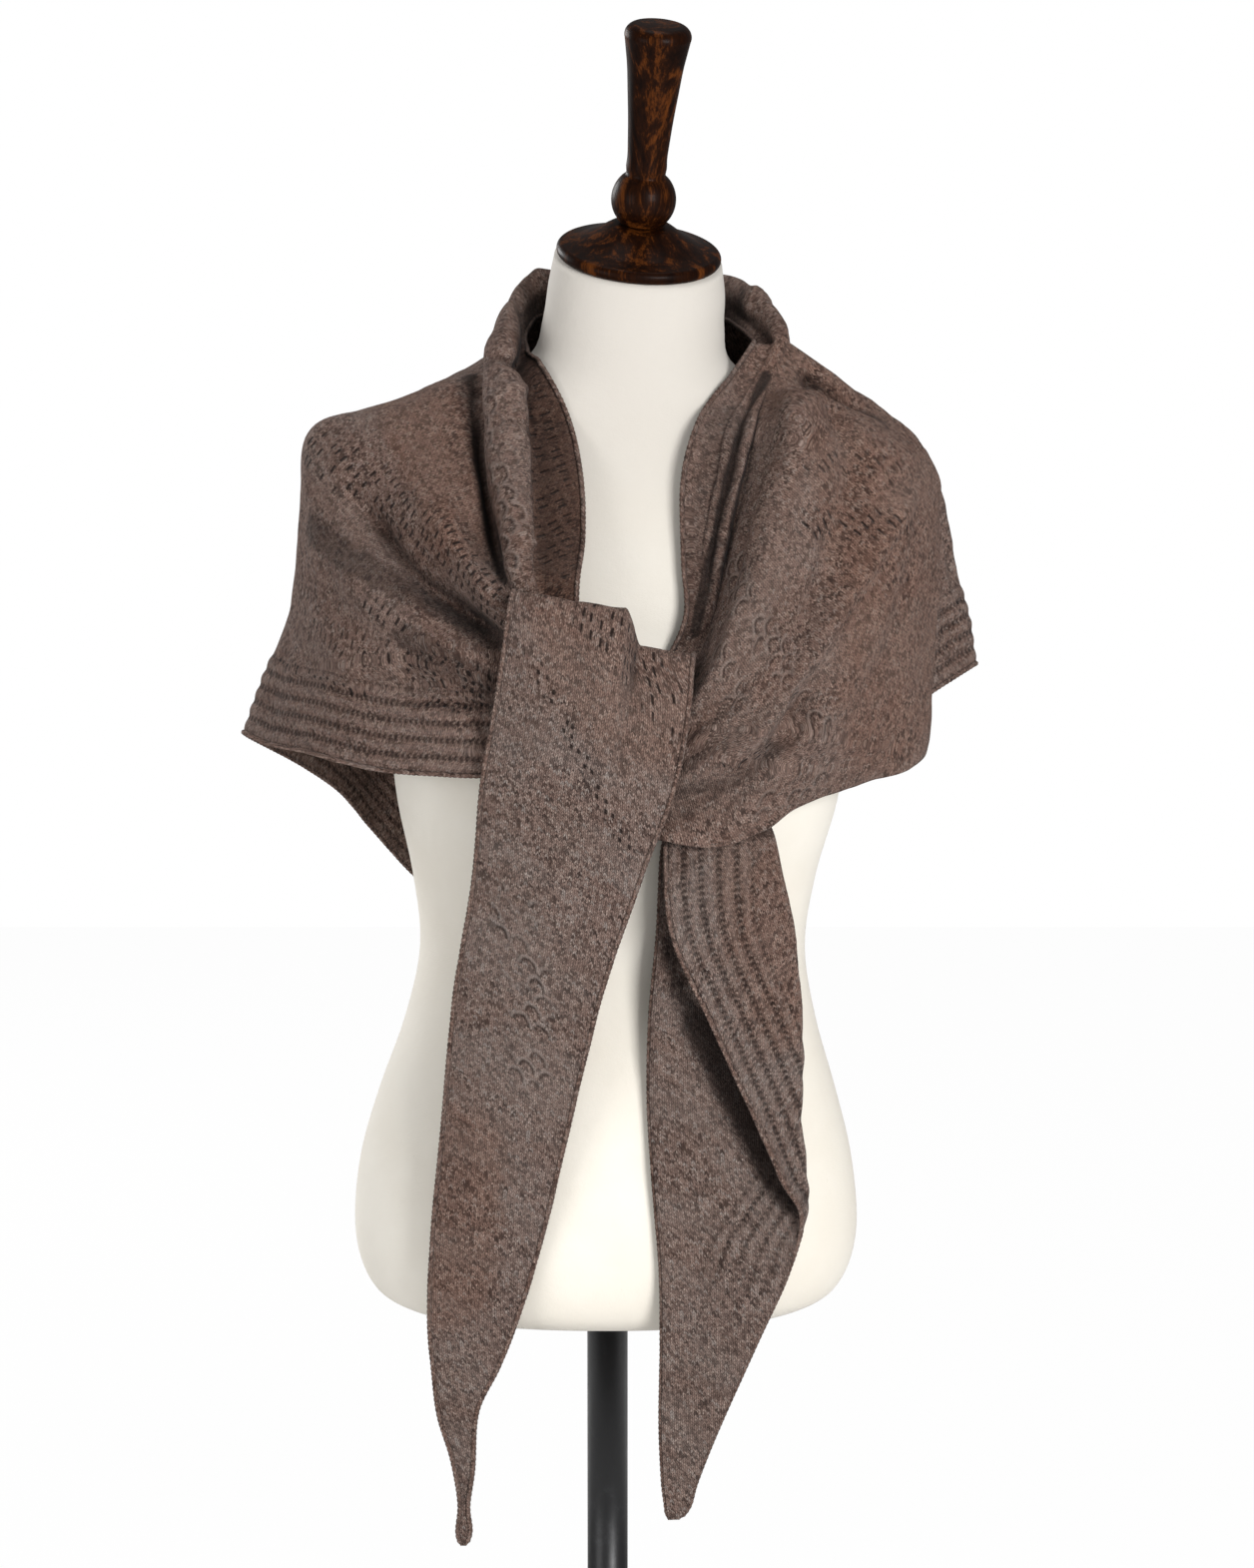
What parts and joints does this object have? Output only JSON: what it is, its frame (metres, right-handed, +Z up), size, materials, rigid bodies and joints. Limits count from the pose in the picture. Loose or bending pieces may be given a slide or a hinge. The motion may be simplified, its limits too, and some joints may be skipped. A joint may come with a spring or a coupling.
{
  "type": "knitted scarf on a limbless dress form",
  "caption": "Triangular knitted scarf worn round the shoulders and tied in front with a half knot, on a limbless dress form with a turned neck cap, pole and round base.",
  "frame": {"origin": "centre of the stand's flat underside, on the floor", "axes": "+Z up along the pole, -Y out of the chest towards the viewer, +X towards the wearer's left"},
  "size_m": [0.5037, 0.3115, 1.1421],
  "materials": {
    "taupe_knit": "matte marled wool knit",
    "ivory_jersey": "matte fine jersey",
    "walnut_stain": "satin varnish over a dark stain",
    "dark_steel": "satin black paint"
  },
  "bodies": {
    "root": {"collar_right": "taupe_knit", "collar_left": "taupe_knit", "front_right": "taupe_knit", "front_left": "taupe_knit", "back": "taupe_knit", "end_right": "taupe_knit", "end_left": "taupe_knit", "knot_core": "taupe_knit", "torso": "ivory_jersey", "neck_cap": "walnut_stain", "handle": "walnut_stain", "base": "walnut_stain", "pole": "dark_steel"}
  },
  "joints": []
}
